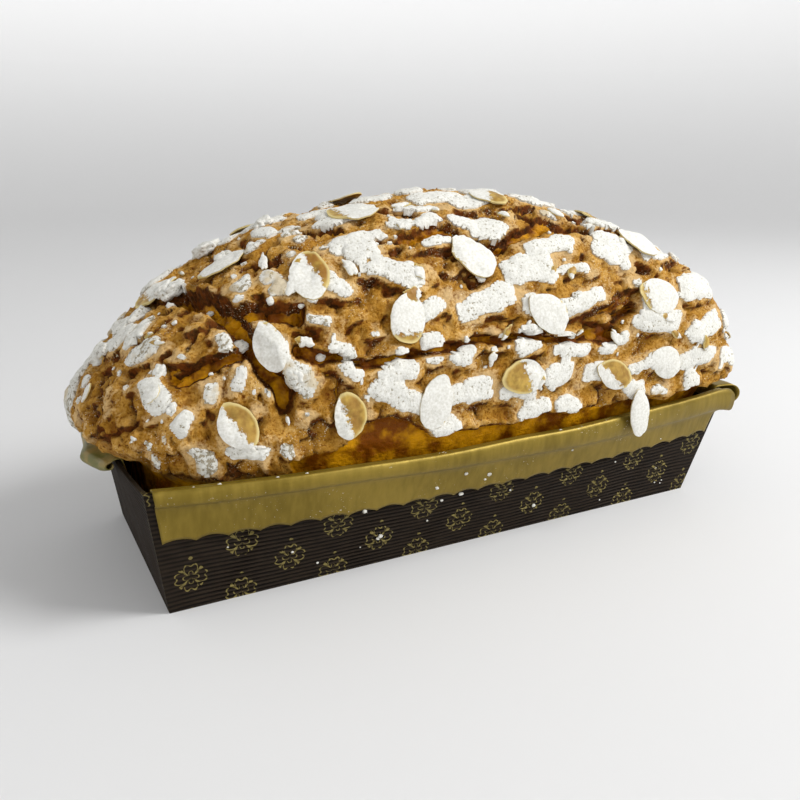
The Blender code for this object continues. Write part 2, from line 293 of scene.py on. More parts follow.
tray_bm = bmesh.new()
along_layer = tray_bm.verts.layers.float.new("wall_along")
up_layer = tray_bm.verts.layers.float.new("wall_up")
flute_layer = tray_bm.verts.layers.float.new("flute")
places = round_the_tray()
loops = []
rows = [(0.0, step / (FLUTES * ROWS_PER_FLUTE)) for step in range(FLUTES * ROWS_PER_FLUTE + 1)]
rows += [(PAPER, 1 - step / 6 * 0.97) for step in range(7)]
for inset, rise in rows:
    loop = []
    for p, q in places:
        point = tray_point(p, q, rise)
        wall = Vector((p if abs(q) < 1 else 0.0, q if abs(p) < 1 else 0.0, 0.0))
        if abs(p) == 1 and abs(q) == 1:
            wall = Vector((p, q, 0.0))
        depth, crest = -inset, 0.5
        if inset == 0.0 and 0.0 < rise < 1.0:
            uneven = 0.7 + 0.5 * noise.noise(point / 0.012)
            drift = 0.35 * noise.noise(Vector((point.x + point.y, 0.0, point.z * 0.3)) / 0.02)
            from_corner = min(1.0, 8 * (1 - min(abs(p), abs(q))))
            crest = 0.5 + 0.5 * math.cos(math.tau * (FLUTES * rise + drift))
            depth = FLUTE_DEPTH * uneven * from_corner * 2 * (crest - 1)
        vert = tray_bm.verts.new(point + wall * depth)
        vert[along_layer] = point.x if abs(q) == 1 else END_WALLS + point.y
        vert[up_layer] = rise * TRAY_HEIGHT
        vert[flute_layer] = crest
        loop.append(vert)
    loops.append(loop)
for low, high in zip(loops, loops[1:]):
    for step in range(len(low)):
        near, far = step - 1, step
        tray_bm.faces.new((low[near], low[far], high[far], high[near]))
tray_bm.faces.new(loops[0])
tray_bm.faces.new(loops[-1])
bmesh.ops.recalc_face_normals(tray_bm, faces=tray_bm.faces)

CLOVER_PITCH = 0.034
CLOVER_RISE = 0.021
CLOVER_LINE = 0.00024

brown = Finish("brown_paper")
along = brown.place.attribute("wall_along")
up = brown.place.attribute("wall_up")


def clover_lines(shift_along, shift_up):
    """Gold lines of one lattice of clovers: four notched petals, a vein in each gap, and a dot on top."""
    x = along.sum("WRAP", (along - shift_along) * 1.0, CLOVER_PITCH / 2, -CLOVER_PITCH / 2)
    z = along.sum("WRAP", (up - shift_up) * 1.0, CLOVER_RISE / 2, -CLOVER_RISE / 2)
    reach = along.sum("SQRT", x * x + z * z)
    turn = along.sum("ARCTAN2", z, x)
    lobe = along.sum("ABSOLUTE", along.sum("COSINE", turn * 2.0))
    outline = (lobe**0.45) * 0.0060 - (lobe**14.0) * 0.0014
    petals = along.sum("ABSOLUTE", reach - outline) < CLOVER_LINE
    gap = along.sum("ABSOLUTE", along.sum("SINE", turn * 2.0))
    veins = (gap > 0.975) * (reach > 0.0012) * (reach < 0.0052)
    heart = along.sum("ABSOLUTE", reach - 0.0026 * lobe) < CLOVER_LINE * 0.8
    above = z - 0.0078
    dot = along.sum("SQRT", x * x + above * above) < 0.0007
    lines = along.sum("MAXIMUM", along.sum("MAXIMUM", petals, veins), along.sum("MAXIMUM", heart, dot))
    return lines


print_lines = along.sum("MAXIMUM", clover_lines(-0.0925, 0.0022), clover_lines(-0.0755, 0.0127))
flute = brown.place.attribute("flute")
worn = (brown.place.stretched(0.5, 0.5, 1.0).noise(0.0014, 2.0, 0.6) + flute * 0.25).rise(0.42, 0.60)
gold = print_lines * worn * (along < END_WALLS / 2)
grain = brown.place.stretched(0.25, 0.25, 1.0).noise(0.0016, 3.0, 0.6)
# Painted shade and highlight: the paper is painted darker in the flutes' valleys and lighter on their crests;
# the grain adds the paper's real tone.
paper_tone_and_flute_shade = (grain * 0.6 + flute * 0.4).rise(0.25, 0.75)
paper_colour = paper_tone_and_flute_shade.blend(paint(17, 12, 7), paint(44, 35, 26))
brown.set("Base Color", gold.blend(paper_colour, paint(124, 112, 66)))
brown.set("Metallic", gold * 0.3)
brown.set("Roughness", 0.58 - gold * 0.15 + grain * 0.1)
brown.set("Specular IOR Level", 0.10)
brown.relief(grain, 0.0003, 0.6)

tray = add_piece("paper_mould", tray_bm, brown)
tray.data.set_sharp_from_angle(angle=math.radians(50))
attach(tray, "root")
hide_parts("paper_tray")

# ---------------------------------------------------------------------------------------------------------
# Gold liner over the long rims: the greaseproof liner is folded outward over the rim and glued down the
# wall as a band. Its fold is creased at the rim and again where it meets the wall, and its lower edge is
# cut with pinking shears.

FOIL = 0.0005
GAP = 0.0003
BAND_DROP = 0.0185
BAND_END = 0.98
BAND_EAR = 0.0070
EAR_START = 0.92
EAR_DROP = 0.0018
SCALLOPS = 22
SCALLOP_DEPTH = 0.0019
CELLS_PER_SCALLOP = 10
BAND_ROWS = 4


def smooth_step(low, high, value):
    share = min(1.0, max(0.0, (value - low) / (high - low)))
    return share * share * (3 - 2 * share)


def smooth_curve(points, cells):
    """A smooth line through these points, with this many cells between each two."""
    curve = []
    for index in range(len(points) - 1):
        before = points[max(index - 1, 0)]
        start, end = points[index], points[index + 1]
        after = points[min(index + 2, len(points) - 1)]
        for step in range(cells):
            t = step / cells
            place = []
            for a, b, c, d in zip(before, start, end, after):
                twice = 2 * b + (c - a) * t
                twice += (2 * a - 5 * b + 4 * c - d) * t**2
                twice += (3 * b - a - 3 * c + d) * t**3
                place.append(0.5 * twice)
            curve.append(tuple(place))
    curve.append(points[-1])
    return curve


def band_section(p):
    """The band across the rim at this share of its length, pinked edge first.

    Each point is (outward from the wall's outside, up from the rim, share of the ear at the right end).
    """
    lie = GAP + FOIL / 2
    inside = -PAPER - lie
    over = GAP + FOIL
    crease = 0.0036 + 0.0034 * smooth_step(-0.5, 0.6, p)
    crest_out = 0.0016 - 0.0004 * smooth_step(-0.2, 0.6, p)
    return [
        (lie, -BAND_DROP, 0.0),
        (lie, -0.5 * (BAND_DROP + crease + 0.002), 0.0),
        (lie, -crease - 0.0024, 0.1),
        (0.0014, -crease - 0.0006, 0.6),
        (0.0027, -crease + 0.0003, 1.0),
        (0.0029, -0.6 * crease + 0.0006, 1.0),
        (crest_out + 0.0009, over - 0.0009, 0.9),
        (crest_out, over + 0.0006, 0.6),
        (crest_out - 0.0012, over + 0.0004, 0.4),
        (-0.0004, over, 0.2),
        (inside, over - 0.0001, 0.0),
        (inside - 0.0002, -0.0040, 0.0),
    ]


golden = Finish("gold_liner")
satin = golden.place.stretched(1.0, 1.0, 0.18).noise(0.0025, 3.0, 0.55)
cloud = golden.place.noise(0.03, 2.0, 0.5)
gold_colour = (satin * 0.5 + cloud * 0.5).rise(0.3, 0.7).blend(paint(114, 95, 26), paint(142, 120, 46))
dust_patches = golden.place.noise(0.02, 2.0, 0.5).rise(0.50, 0.62)
dust = golden.place.noise(0.0007, 1.0, 0.5).rise(0.70, 0.76) * dust_patches
golden.set("Base Color", dust.blend(gold_colour, paint(226, 220, 200)))
golden.set("Metallic", 0.45)
golden.set("Specular IOR Level", 0.3)
golden.set("Roughness", 0.36 + dust * 0.4 + cloud * 0.08)
golden.relief(satin + cloud * 2.0, 0.0004, 0.25)


def add_foil(name, bm, finish=golden):
    """A sheet of the liner: gives it its thickness and lets it stand for its node."""
    bmesh.ops.recalc_face_normals(bm, faces=bm.faces)
    foil = add_piece(name + "_foil", bm, finish)
    sheet = foil.modifiers.new("foil thickness", "SOLIDIFY")
    sheet.thickness = FOIL
    sheet.offset = 0.0
    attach(foil, "root")
    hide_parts(name)


def add_band(name, side):
    columns = SCALLOPS * CELLS_PER_SCALLOP
    sections = [smooth_curve(band_section(2 * step / columns - 1), BAND_ROWS) for step in range(columns + 1)]
    rows = len(sections[0]) - 1
    bm = bmesh.new()
    bmesh.ops.create_grid(bm, x_segments=columns, y_segments=rows, size=1.0)
    for vert in bm.verts:
        column = round((vert.co.x + 1) / 2 * columns)
        row = round((vert.co.y + 1) / 2 * rows)
        p = BAND_END * vert.co.x
        outward, up, ear = sections[column][row]
        near_edge = max(0.0, 1 - row / (2 * BAND_ROWS))
        hump = abs(math.sin(math.pi * SCALLOPS * column / columns)) ** 0.8
        tooth = 0.75 + 0.25 * noise.noise(Vector((p * 9, side, 0)))
        up += SCALLOP_DEPTH * tooth * hump * near_edge
        place = Vector((p * RIM_LEFT, side * TRAY_WIDTH / 2, up))
        free = smooth_step(-0.0095, -0.004, up)
        outward += free * (0.0004 * noise.noise(place / 0.024) + 0.00012 * noise.noise(place / 0.006))
        up += free * 0.0005 * noise.noise(place / 0.03 + Vector((5, 1, 2)))
        height = rim_height(p) + up
        wall = tray_point(p, side, min(height / rim_height(p), 1.0))
        ear *= max(0.0, (p - EAR_START) / (BAND_END - EAR_START)) ** 2
        vert.co = (wall.x + BAND_EAR * ear, wall.y + side * outward, height - EAR_DROP * ear * ear)
    add_foil(name, bm)


add_band("liner_band_front", -1)
add_band("liner_band_back", 1)

# ---------------------------------------------------------------------------------------------------------
# Gold liner over the short rims: two flaps of the same paper stand out over the end walls, and their free
# edge is rolled under. The left one is narrow and tapers to its ends.

# Each flap: (place across, reach outward) along it, its roll's radius and rise, its front corner's flare
LEFT_FLAP = [(-0.0175, 0.0030), (-0.0025, 0.0088), (0.0090, 0.0062), (0.0340, 0.0044)], 0.0023, -0.0010, 0.0
RIGHT_FLAP = [(-0.0460, 0.0085), (0.0360, 0.0080)], 0.0038, 0.0004, 0.0035
ROLL_TURNS = 18
FLAP_CELLS = 44


def flap_reach(places, across):
    """How far the flap stands out from the rim at this place across the tray."""
    for (start, near), (end, far) in zip(places, places[1:]):
        if across <= end:
            return near + (far - near) * (across - start) / (end - start)
    return places[-1][1]


def flap_section(reach, radius, climb):
    """The flap across a short rim: (outward from the wall's outside, up from the rim), rolled edge last."""
    inside = -PAPER - 2 * GAP - FOIL / 2
    over = 2.5 * GAP + FOIL / 2
    points = [(inside, -0.0040), (inside, -0.0015), (inside, 0.0001), (inside + 0.0005, over)]
    roll_out, roll_up = reach - radius, over + climb - radius
    for step in range(4):
        share = step / 4
        points.append((roll_out * share, over + climb * share))
    for step in range(ROLL_TURNS + 1):
        angle = math.radians(90 - 285 * step / ROLL_TURNS)
        points.append((roll_out + radius * math.cos(angle), roll_up + radius * math.sin(angle)))
    return points


# Painted shade: the left flap has its own copy of the liner, painted the dull olive tan that the gold paper
# shows in shade, and mottled.
shaded_flap_finish = Finish("shaded_liner")
flap_mottle = shaded_flap_finish.place.noise(0.006, 3.0, 0.55).rise(0.35, 0.65)
shaded_flap_finish.set("Base Color", flap_mottle.blend(paint(104, 102, 44), paint(148, 126, 66)))
shaded_flap_finish.set("Roughness", 0.45)
shaded_flap_finish.relief(flap_mottle, 0.0003, 0.3)


def add_flap(name, side, form, finish):
    places, radius, climb, flare = form
    near_y, far_y = places[0][0], places[-1][0]
    rows = len(flap_section(places[0][1], radius, climb)) - 1
    bm = bmesh.new()
    bmesh.ops.create_grid(bm, x_segments=rows, y_segments=FLAP_CELLS, size=1.0)
    for vert in bm.verts:
        row = round((vert.co.x + 1) / 2 * rows)
        share = (vert.co.y + 1) / 2
        across = near_y + (far_y - near_y) * share
        reach = flap_reach(places, across)
        outward, up = flap_section(reach, min(radius, reach / 2 - GAP), climb)[row]
        q = across / (TRAY_WIDTH / 2)
        wall = tray_point(side, q, min(1.0, 1.0 + up / TRAY_HEIGHT) if outward < 0 else 1.0)
        bow = LEFT_SWELL if side < 0 else RIGHT_SWELL
        bend = bow * (1 - swell(q, 1.0)) if outward > 0 else 0.0
        free = max(0.0, outward / reach)
        place = Vector((outward, across, up))
        wave = free * (0.0009 * noise.noise(place / 0.014) + 0.0003 * noise.noise(place / 0.005))
        across -= flare * free * (1 - share) ** 4
        vert.co = (wall.x + side * (outward + bend + wave * 0.5), across, TRAY_HEIGHT + up + wave)
    add_foil(name, bm, finish)


add_flap("liner_flap_left", -1, LEFT_FLAP, shaded_flap_finish)
add_flap("liner_flap_right", 1, RIGHT_FLAP, golden)

# ---------------------------------------------------------------------------------------------------------
# Cake: sweet dough risen far out of the mould, under an almond glaze that baked to a brittle crust. The
# crust has torn into scales that stand off each other, and moist amber crumb shows where it gaped.

CAKE_TOP = 0.1285
WIDEST_LEVEL = 0.058
NECK_LEVEL = 0.0485
LEFT_REACH = 0.131
RIGHT_REACH = 0.1335
DOME_WIDTH = 0.108
NECK_LEFT = 0.1133
NECK_RIGHT = 0.1205
NECK_WIDTH = 0.0915
TOP_LEAN = 0.008
BACK_LEAN = 0.0015
LEFT_ROUNDNESS = 1.5
RIGHT_ROUNDNESS = 1.7
LEFT_SQUARENESS = 3.4
RIGHT_SQUARENESS = 12.0
TOP_SQUARENESS = 3.4
BASE_SQUARENESS = 10.0
CRUST_ALONG = 350
CRUST_ACROSS = 216
NECK_ROWS = 13


def dome_ring(rise, right):
    """Half-length, half-width and squareness of the dome's right or left end at this share of its height."""
    reach, roundness = (RIGHT_REACH, RIGHT_ROUNDNESS) if right else (LEFT_REACH, LEFT_ROUNDNESS)
    squareness = RIGHT_SQUARENESS if right else LEFT_SQUARENESS
    length = reach * math.sqrt(1 - rise**roundness)
    width = DOME_WIDTH / 2 * math.sqrt(1 - rise**3.4)
    return length, width, squareness + (TOP_SQUARENESS - squareness) * rise


def ring_point(p, q, reach, half_width, squareness):
    """The point of a ring in the direction (p, q), where reach is its half-length on that side."""
    norm = (abs(p) ** squareness + abs(q) ** squareness) ** (1 / squareness)
    return p / norm * reach, q / norm * half_width


def dome_point(p, q):
    """The smooth dome over the square from -1 to 1: its edge is the widest level, its middle the top."""
    ring = max(abs(p), abs(q))
    rise = 1 - ring * ring
    x, y = 0.0, 0.0
    if ring > 0:
        x, y = ring_point(p / ring, q / ring, *dome_ring(rise, p > 0))
    height = WIDEST_LEVEL + (CAKE_TOP - WIDEST_LEVEL) * rise
    return Vector((x + TOP_LEAN * rise - MIDDLE, y + BACK_LEAN * rise, height))


def neck_point(p, q, level):
    """The cake's side under the widest level: level is 1 there, 0 at the neck and -1 at the bottom."""
    reach, _, squareness = dome_ring(0.0, p > 0)
    neck, base = (NECK_RIGHT, BASE_RIGHT) if p > 0 else (NECK_LEFT, BASE_LEFT)
    if level >= 0:
        bow = math.sqrt(1 - (1 - level) ** 2)
        half_length = neck + (reach - neck) * bow
        half_width = (NECK_WIDTH + (DOME_WIDTH - NECK_WIDTH) * bow) / 2
        height = NECK_LEVEL + (WIDEST_LEVEL - NECK_LEVEL) * level
        bulge = SIDE_SWELL * (1 - bow)
    else:
        inset = PAPER + GAP + 0.001
        half_length = neck + (neck - base + inset) * level
        half_width = NECK_WIDTH / 2 + ((NECK_WIDTH - BASE_WIDTH) / 2 + inset) * level
        height = PAPER + GAP + (NECK_LEVEL - PAPER - GAP) * (level + 1)
        bulge = SIDE_SWELL * (level + 1)
        squareness += (BASE_SQUARENESS - squareness) * -level
    x, y = ring_point(p, q, half_length, half_width, squareness)
    y += math.copysign(bulge, y) * (1 - min(1, abs(x / half_length)) ** 2.2)
    return Vector((x - MIDDLE, y, height))


def surface_point(x, around):
    """The dome's point at x, turned this many degrees round the loaf from the front (0) over the top (90)."""
    out = Vector((0, -math.cos(math.radians(around)) * DOME_WIDTH / 2, 0))
    out.z = math.sin(math.radians(around)) * (CAKE_TOP - WIDEST_LEVEL)
    near, far = 0.0, 1.2
    for _ in range(24):
        middle = (near + far) / 2
        y, z = out.y * middle, out.z * middle
        rise = max(0.0, z / (CAKE_TOP - WIDEST_LEVEL))
        inside = rise < 1
        if inside:
            along, across = x - TOP_LEAN * rise, y - BACK_LEAN * rise
            length, width, squareness = dome_ring(rise, along > 0)
            inside = abs(along / length) ** squareness + abs(across / width) ** squareness < 1
        near, far = (middle, far) if inside else (near, middle)
    return Vector((x - MIDDLE, out.y * near, WIDEST_LEVEL + out.z * near))


def dome_frame(x, around, turn):
    """A place on the dome: its centre, the direction ahead after this turn, and straight off the crust."""
    centre = surface_point(x, around)
    beside = surface_point(x, around + 1) - centre
    along = surface_point(x + 0.001, around) - centre
    up = along.cross(beside).normalized()
    ahead = (Matrix.Rotation(math.radians(turn), 3, up) @ along).normalized()
    return centre, ahead, up


def dome_spot(p, q):
    """A place of the dome's square: its centre, the way along the loaf, and straight off the crust."""
    along = dome_point(min(p + 0.01, 1), q) - dome_point(max(p - 0.01, -1), q)
    across = dome_point(p, min(q + 0.01, 1)) - dome_point(p, max(q - 0.01, -1))
    return dome_point(p, q), along.normalized(), along.cross(across).normalized()


# The deepest cracks take the part's own routes: the widest runs down the left shoulder, others along the
# loaf. Short ones with amber crumb lie between them.
SHOULDER_CRACK = -0.095
SHOULDER_DRIFT = 0.022
SHOULDER_TOP = 92
SHOULDER_FOOT = 10
SHOULDER_STEPS = 6
LONG_CRACKS = [20, 50, 120, 154]
LONG_CRACK_END = 0.090
SHORT_CRACKS = 14


def crack_courses():
    """Each crack's half-width, depth, share of amber crumb and places (x, degrees round the loaf)."""
    chance = random.Random(3)
    shoulder = []
    for step in range(SHOULDER_STEPS):
        down = step / (SHOULDER_STEPS - 1)
        around = SHOULDER_TOP + (SHOULDER_FOOT - SHOULDER_TOP) * down
        shoulder.append((SHOULDER_CRACK + SHOULDER_DRIFT * down**2, around))
    courses = [(0.0042, 0.0068, 0.9, shoulder)]
    for step, (x, around) in enumerate(shoulder[2:5]):
        side = -1 if step % 2 == 0 else 1
        tip = (x + side * chance.uniform(0.018, 0.028), around - chance.uniform(4, 14))
        courses.append((0.0027, 0.0032, 0.9, [(x, around), tip]))
    for around in LONG_CRACKS:
        x = chance.uniform(-0.070, -0.020)
        course = []
        while x < LONG_CRACK_END:
            course.append((x, around + chance.uniform(-6, 6)))
            x += chance.uniform(0.018, 0.032)
        courses.append((0.0022, 0.0030, 0.8, course))
    for _ in range(SHORT_CRACKS):
        x, around = chance.uniform(-0.060, 0.100), chance.uniform(8, 165)
        tip = (x + chance.uniform(0.008, 0.020), around + chance.uniform(-7, 7))
        courses.append((chance.uniform(0.0020, 0.0038), 0.0026, 1.0, [(x, around), tip]))
    return courses


noise.seed_set(5)
crack_runs = []
for half, deep, crumb, route in crack_courses():
    spots = [surface_point(x, around) for x, around in route]
    for start, end in zip(spots, spots[1:]):
        crack_runs.append((half, deep, crumb, start, end - start, (end - start).length_squared))


def crack_at(point):
    """Depth of the crust's deepest crack here, how far into it this place is, and the amber that shows."""
    depth, share, amber = 0.0, 0.0, 0.0
    ragged = point + 0.0022 * noise.noise_vector(point / 0.011) + 0.0009 * noise.noise_vector(point / 0.0030)
    for half, deep, crumb, start, run, length_squared in crack_runs:
        from_start = ragged - start
        away = from_start - run * min(1.0, max(0.0, from_start.dot(run) / length_squared))
        if away.length_squared < half * half:
            here = 1 - away.length_squared / half**2
            wall = 1 - (1 - here) ** 2
            if deep * wall > depth:
                depth, share, amber = deep * wall, here, crumb * here
    return depth, share, amber


def scale_at(point):
    """How near this place is to a gap between scales, and its scale's tilt: long on the right, lumps left."""
    right = smooth_step(-0.07, 0.01, point.x)
    wavy = point + 0.0022 * noise.noise_vector(point / 0.008) + 0.0007 * noise.noise_vector(point / 0.0022)
    long, long_seeds = noise.voronoi(Vector((wavy.x / 0.019, wavy.y / 0.0085, wavy.z / 0.0075)))
    lump, lump_seeds = noise.voronoi(wavy / 0.0115 + Vector((3, 8, 1)))
    edge = (long[1] - long[0]) * right + (lump[1] - lump[0]) * (1 - right)
    seed = long_seeds[0] if right > 0.5 else lump_seeds[0]
    torn = 0.75 + 0.6 * noise.noise(point / 0.014 + Vector((1, 6, 2)))
    return max(0.0, 1 - edge / 0.17) * min(1.0, torn), noise.noise(seed * 1.7)


# The crust's lower edge stands over the rim. It is lowest at the left corner and rises in one tall arch left
# of the middle, above where the glaze ran over the rim.
LIP_LEFT = 0.0430
LIP_RIGHT = 0.0515
LIP_ARCH = 0.0090
LIP_ARCH_X = -0.040
LIP_ARCH_HALF = 0.018


def lip_height(point):
    """The height of the crust's lower edge here: as on the front, and a calmer line of it at the back."""
    x = point.x + MIDDLE if point.y < 0 else -0.6 * point.x
    height = LIP_LEFT + (LIP_RIGHT - LIP_LEFT) * smooth_step(-0.095, -0.060, x)
    height += LIP_ARCH * max(0.0, 1 - ((x - LIP_ARCH_X) / LIP_ARCH_HALF) ** 2)
    height += 0.0022 * noise.noise(Vector((x / 0.016, 0.0, 4.0)))
    return height + 0.0010 * noise.noise(point / 0.006)


# Sugar plates: see their section below. They are placed here, because each lies on a raised scale of crust.
# They run in broken courses along the front and over the top: streaks on the right, squarer lumps at the
# left. Small pieces fill in between, and loose ones cover the back and the right end.
COURSES = 10
COURSE_STEP = 10.5
FIRST_COURSE = -3
PLATES_FROM = -0.124
PLATES_TO = 0.122
STREAKS_FROM = -0.055
STREAK_LENGTHS = (0.009, 0.028)
STREAK_WIDTHS = (0.005, 0.012)
STREAK_CHANCE = 0.86
LUMP_LENGTHS = (0.007, 0.016)
LUMP_CHANCE = 0.62
SCATTER_TRIES = 1100
SMALL_LENGTHS = (0.002, 0.0055)
LOOSE_LENGTHS = (0.006, 0.026)

PLATE_WORN = 0.0004
GRITTY_WORN = 0.0003
PLATE_SPLIT = 0.0004

plates = []
course_picks = random.Random(12)
for course in range(COURSES):
    x = PLATES_FROM + course_picks.uniform(0.0, 0.012)
    while x < PLATES_TO:
        around = FIRST_COURSE + COURSE_STEP * course + course_picks.gauss(0, 2.0)
        streak = x > STREAKS_FROM
        length = course_picks.uniform(*(STREAK_LENGTHS if streak else LUMP_LENGTHS))
        width = course_picks.uniform(*STREAK_WIDTHS) if streak else length * course_picks.uniform(0.45, 0.8)
        turn = course_picks.gauss(0, 14 if streak else 55)
        gritty = 1.0 if course_picks.random() < (0.05 if streak else 0.55) else 0.0
        if course_picks.random() < (STREAK_CHANCE if streak else LUMP_CHANCE):
            centre, ahead, up = dome_frame(x + length / 2, around, turn)
            plates.append((centre, ahead, up.cross(ahead), length / 2, width / 2, gritty))
        x += length + course_picks.uniform(-0.001, 0.005)

plate_picks = random.Random(21)
for attempt in range(SCATTER_TRIES):
    p, q = plate_picks.uniform(-1, 1), plate_picks.uniform(-1, 1)
    centre, along, up = dome_spot(p, q)
    # Between the courses only small pieces fit
    between = q < 0.12 and p < 0.97
    length = plate_picks.uniform(*(SMALL_LENGTHS if between else LOOSE_LENGTHS))
    width = length * plate_picks.uniform(0.4, 0.85)
    turn = plate_picks.gauss(0, 20 if centre.x > -0.05 else 60)
    ahead = (Matrix.Rotation(math.radians(turn), 3, up) @ along).normalized()
    free = all((centre - other[0]).length > 0.9 * (length / 2 + other[3] * 0.8) for other in plates)
    if free and up.z > -0.2 and not (between and attempt % 2):
        gritty = 1.0 if plate_picks.random() < (0.6 if centre.x < -0.06 else 0.12) else 0.0
        plates.append((centre, ahead, up.cross(ahead), length / 2, width / 2, gritty))

plate_tree = KDTree(len(plates))
for number, plate in enumerate(plates):
    plate_tree.insert(plate[0], number)
plate_tree.balance()


def plate_at(point):
    """How far this place lies inside the nearest sugar plate's ragged edge (negative outside), and its grit.

    A thin split runs where two plates meet.
    """
    ragged = point + 0.0022 * noise.noise_vector(point / 0.0055) + 0.0006 * noise.noise_vector(point / 0.0024)
    best, second, grit = -0.01, -0.01, 0.0
    for _, number, _ in plate_tree.find_range(point, 0.019):
        centre, ahead, across, half_length, half_width, gritty = plates[number]
        from_centre = ragged - centre
        u = abs(from_centre.dot(ahead)) / half_length
        v = abs(from_centre.dot(across)) / half_width
        depth = (1 - (u**3.5 + v**3.5) ** (1 / 3.5)) * half_width - PLATE_WORN - gritty * GRITTY_WORN
        if depth > best:
            best, second, grit = depth, best, gritty
        elif depth > second:
            second = depth
    return min(best, 1.2 * (best - second) - PLATE_SPLIT), grit


cake_bm = bmesh.new()
torn_and_shade_layer = cake_bm.verts.layers.float.new("torn")
amber_layer = cake_bm.verts.layers.float.new("amber")
relief_layer = cake_bm.verts.layers.float.new("relief")
plate_layer = cake_bm.verts.layers.float.new("plate_depth")
grit_layer = cake_bm.verts.layers.float.new("grit")
bmesh.ops.create_grid(cake_bm, x_segments=CRUST_ALONG, y_segments=CRUST_ACROSS, size=1.0)
for vert in cake_bm.verts:
    vert.co.z = 1.0
rim = [edge for edge in cake_bm.edges if edge.is_boundary]
for row in range(1, NECK_ROWS + 1):
    level = 1 - 2 * (row / NECK_ROWS) ** 1.5
    lowered = bmesh.ops.extrude_edge_only(cake_bm, edges=rim)["geom"]
    for item in lowered:
        if isinstance(item, bmesh.types.BMVert):
            item.co.z = level
    rim = [item for item in lowered if isinstance(item, bmesh.types.BMEdge) and item.is_boundary]
for vert in cake_bm.verts:
    p, q, level = vert.co
    vert.co = dome_point(p, q) if level > 0.999 else neck_point(p, q, max(level, -1.0))
    if 0 < level <= 0.999 and vert.co.y < 0:
        # The crust's front left corner sank onto the rim
        widest = neck_point(p, q, 1.0)
        sunk = 1 - smooth_step(-0.090, -0.055, vert.co.x)
        sunk *= smooth_step(0.0, 0.03, level) * smooth_step(0.030, 0.046, -widest.y)
        vert.co.xy = vert.co.xy.lerp(widest.xy * 0.985, sunk)
        vert.co.z -= 0.0010 * sunk
bmesh.ops.holes_fill(cake_bm, edges=rim)
bmesh.ops.recalc_face_normals(cake_bm, faces=cake_bm.faces)
cake_bm.normal_update()

# The crust's points next to a plate's edge are drawn onto it, so that the plates have clean outlines
cracks = {}
for vert in cake_bm.verts:
    cracks[vert.index] = crack_at(vert.co)
    inside, grit = plate_at(vert.co)
    below = 1 - smooth_step(lip_height(vert.co), lip_height(vert.co) + 0.0016, vert.co.z)
    vert[plate_layer] = inside - 0.006 * (cracks[vert.index][1] + below)
    vert[grit_layer] = grit
drawn = {}
for edge in cake_bm.edges:
    near, far = edge.verts
    if near[plate_layer] * far[plate_layer] < 0:
        share = near[plate_layer] / (near[plate_layer] - far[plate_layer])
        vert = near if share < 0.5 else far
        move = min(share, 1 - share)
        if vert.index not in drawn or move < drawn[vert.index][0]:
            drawn[vert.index] = (move, near.co.lerp(far.co, share))
cake_bm.verts.ensure_lookup_table()
for index, (_, place) in drawn.items():
    cake_bm.verts[index].co = place
    cake_bm.verts[index][plate_layer] = 0.0

LEDGE = 0.0013
LEDGE_SLOPE = 0.0009
LEDGE_RISE = 0.0014
GAP_DEPTH = 0.0018
smooth_ways = {vert: vert.normal.copy() for vert in cake_bm.verts}
for vert in cake_bm.verts:
    point = vert.co.copy()
    above = min(1.0, max(0.0, (point.z - WIDEST_LEVEL + 0.004) / 0.010))
    crack, in_crack, amber = cracks[vert.index]
    inside = vert[plate_layer]
    ledge = smooth_step(-LEDGE - LEDGE_SLOPE, -LEDGE, inside + 0.0006 * noise.noise(point / 0.0021))
    gap, tilt = scale_at(point)
    gap *= 1 - ledge
    broad = 0.0021 * noise.noise(point / 0.028) + 0.0013 * noise.noise(point / 0.012 + Vector((7, 3, 5)))
    rough = 0.0009 * noise.noise(point / 0.0036) + 0.0006 * noise.noise(point / 0.0016 + Vector((2, 2, 9)))
    rough *= (1 - 0.75 * smooth_step(-0.0008, 0.0002, inside)) * (1 + gap)
    lip = lip_height(point)
    under = 1 - smooth_step(lip - 0.0010, lip + 0.0006, point.z)
    over = (1 - smooth_step(lip + 0.0008, lip + 0.006, point.z)) * (1 - under)
    scales = LEDGE_RISE * ledge + 0.0009 * tilt * (1 - ledge) - GAP_DEPTH * smooth_step(0.1, 0.7, gap) + rough
    height = broad * above + scales * (1 - 0.8 * under) - crack * above + 0.0014 * over - 0.0012 * under
    if point.z > 0.0445:
        vert.co += vert.normal * height
    wet_patch = noise.noise(point / 0.017 + Vector((4, 4, 0)))
    wet = smooth_step(0.45, 0.8, gap) * smooth_step(-0.05, 0.2, wet_patch)
    # Painted shade: the crust's hollow under the front left corner, down by the rim, is painted dark where
    # only shade falls.
    hollow_shade = (1 - smooth_step(-0.088, -0.068, point.x)) * (1 - smooth_step(0.0478, 0.0495, point.z))
    # Dark paint in the gaps between scales and in the cracks: partly the crust's real dark-baked colour there,
    # partly painted shade in these recesses.
    vert[torn_and_shade_layer] = max(gap, hollow_shade, smooth_step(0.02, 0.3, in_crack) * above) * (1 - under)
    vert[amber_layer] = max(0.8 * wet * above, smooth_step(0.40, 0.75, amber) * above, under)
    vert[relief_layer] = rough * 400 + 0.5
cake_bm.normal_update()
# Painted shade: wherever the crust's relief faces downward, off the plates, it is painted darker as if in its
# own shadow, then softened over its neighbours.
shaded = {}
for vert in cake_bm.verts:
    underside_shade = smooth_step(0.14, 0.55, smooth_ways[vert].z - vert.normal.z)
    underside_shade *= 1 - smooth_step(-0.0004, 0.0002, vert[plate_layer])
    shaded[vert] = min(1.0, vert[torn_and_shade_layer] + 0.9 * underside_shade)
for vert, torn in shaded.items():
    beside = [shaded[edge.other_vert(vert)] for edge in vert.link_edges]
    vert[torn_and_shade_layer] = 0.4 * torn + 0.6 * sum(beside) / len(beside)

